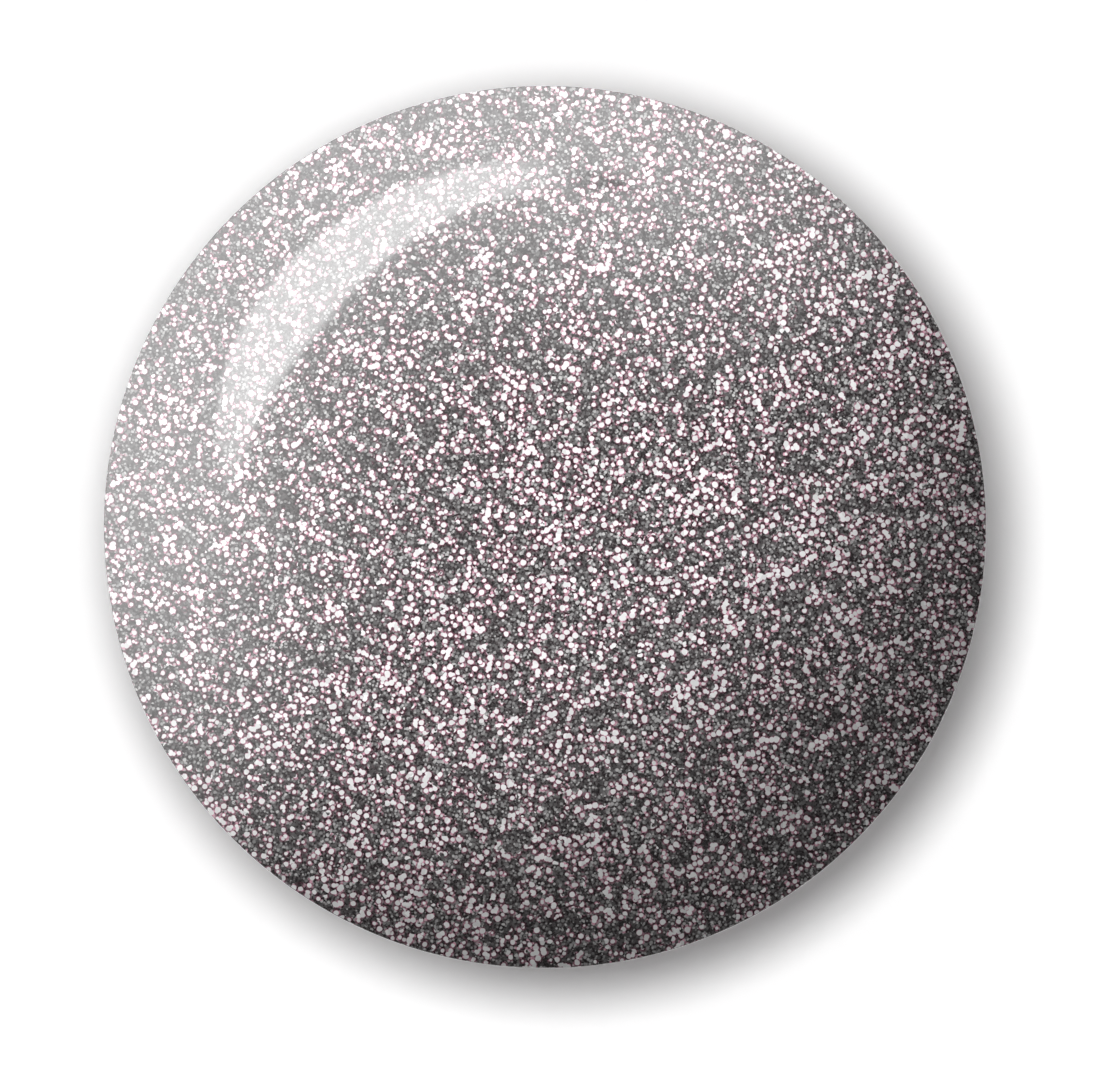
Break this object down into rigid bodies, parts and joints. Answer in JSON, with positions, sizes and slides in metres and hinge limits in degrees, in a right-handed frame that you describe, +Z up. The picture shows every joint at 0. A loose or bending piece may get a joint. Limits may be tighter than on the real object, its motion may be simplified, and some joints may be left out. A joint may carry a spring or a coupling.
{
  "type": "nail polish bottle",
  "caption": "Round glass nail polish bottle with a screw-on brush closure under a pull-off overcap topped by a low glitter dome.",
  "frame": {"origin": "middle of the foot, on the plane the bottle stands on", "axes": "+Z up along the bottle's axis, the way the cap comes off; +X towards the first mixing ball"},
  "size_m": [0.03, 0.03, 0.061],
  "materials": {
    "glass": "clear flint glass",
    "lacquer": "glitter polish",
    "label": "blank matt paper",
    "steel": "polished steel",
    "foam": "closed-cell foam",
    "stem": "moulded, glossy",
    "brass": "drawn wire",
    "nylon": "nylon filament, wet at the tip",
    "closure": "moulded, fine texture",
    "cover": "satin anodised",
    "liner": "moulded",
    "glitter": "pinkish-white glitter in dark grey lacquer under a clear coat"
  },
  "bodies": {
    "bottle": {"glass_bottle": "glass", "lacquer": "lacquer", "base_label": "label"},
    "ball_1": {"mixing_ball_1": "steel"},
    "ball_2": {"mixing_ball_2": "steel"},
    "wad": {"sealing_wad": "foam"},
    "brush": {"brush_stem": "stem", "brush_staple": "brass", "brush_bristles": "nylon"},
    "closure": {"screw_closure": "closure", "grip_cover": "cover"},
    "overcap": {"overcap_liner": "liner", "overcap_shell": "glitter"}
  },
  "joints": [
    {"name": "cap_lift", "type": "slide", "parent": "bottle", "child": "wad", "axis": [0, 0, 1], "range_m": [0, 0.045]},
    {"name": "cap_rise", "type": "slide", "parent": "wad", "child": "brush", "axis": [0, 0, 1], "range_m": [0, 0.0043]},
    {"name": "cap_turn", "type": "hinge", "parent": "brush", "child": "closure", "pos_m": [0, 0, 0.0424], "axis": [0, 0, 1], "range_deg": [0, 720]},
    {"name": "overcap_pull", "type": "slide", "parent": "closure", "child": "overcap", "axis": [0, 0, 1], "range_m": [0, 0.026]},
    {"name": "ball_1_roll", "type": "hinge", "parent": "bottle", "child": "ball_1", "pos_m": [0, 0, 0.0071], "axis": [0, 0, 1], "range_deg": [-75, 75]},
    {"name": "ball_2_roll", "type": "hinge", "parent": "bottle", "child": "ball_2", "pos_m": [0, 0, 0.0071], "axis": [0, 0, 1], "range_deg": [-75, 75]}
  ],
  "couplings": [
    {"joint": "cap_rise", "follows": "cap_turn", "m_per_rad": 0.00033693}
  ]
}
